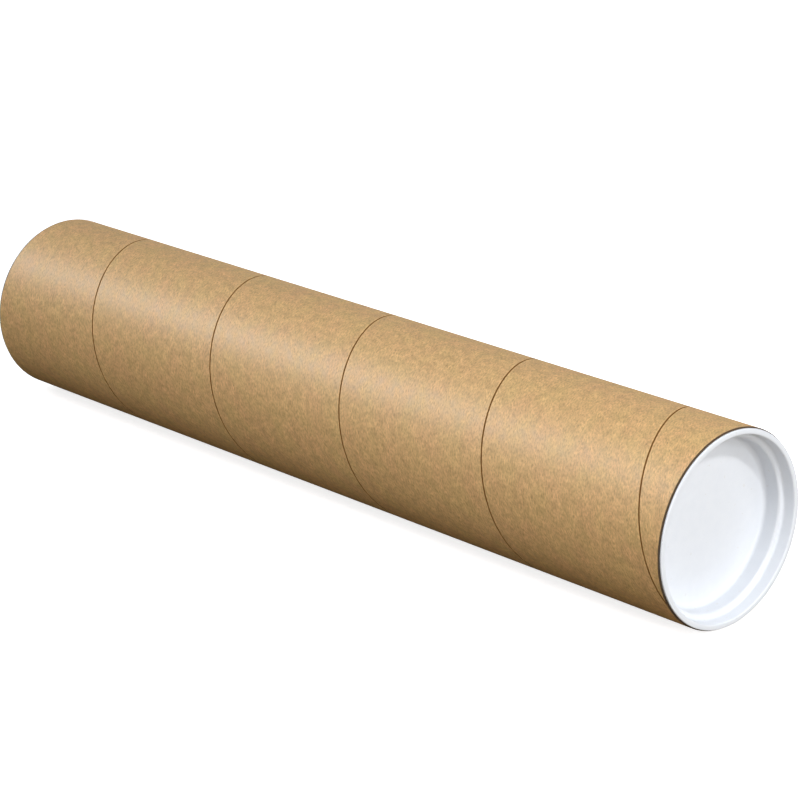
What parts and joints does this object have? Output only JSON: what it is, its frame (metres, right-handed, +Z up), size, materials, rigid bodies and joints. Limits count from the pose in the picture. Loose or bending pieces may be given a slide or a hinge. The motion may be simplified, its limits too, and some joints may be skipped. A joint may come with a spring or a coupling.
{
  "type": "drawing tube",
  "caption": "Spiral-wound kraft board tube for rolled drawings, closed at each end by a recessed white plug cap that pulls out.",
  "frame": {"origin": "on the surface that the tube lies on, under the middle of its length", "axes": "+X along the tube's axis, towards the front plug cap; +Z up; the tube lies level"},
  "size_m": [0.5492, 0.1056, 0.1056],
  "materials": {
    "kraft_paper": "uncoated kraft paper, faint satin",
    "core_board": "uncoated grey-brown core board",
    "liner_paper": "smooth uncoated kraft liner",
    "white_plastic": "moulded polyethylene, soft satin"
  },
  "bodies": {
    "tube": {"inner_liner": "liner_paper", "inner_core_ply": "core_board", "middle_core_ply": "core_board", "outer_core_ply": "core_board", "outer_wrap": "kraft_paper"},
    "front_cap": {"front_plug_cap": "white_plastic"},
    "back_cap": {"back_plug_cap": "white_plastic"}
  },
  "joints": [
    {"name": "front_cap_pull", "type": "slide", "parent": "tube", "child": "front_cap", "axis": [1, 0, 0], "range_m": [0, 0.06]},
    {"name": "back_cap_pull", "type": "slide", "parent": "tube", "child": "back_cap", "axis": [-1, 0, 0], "range_m": [0, 0.06]}
  ]
}
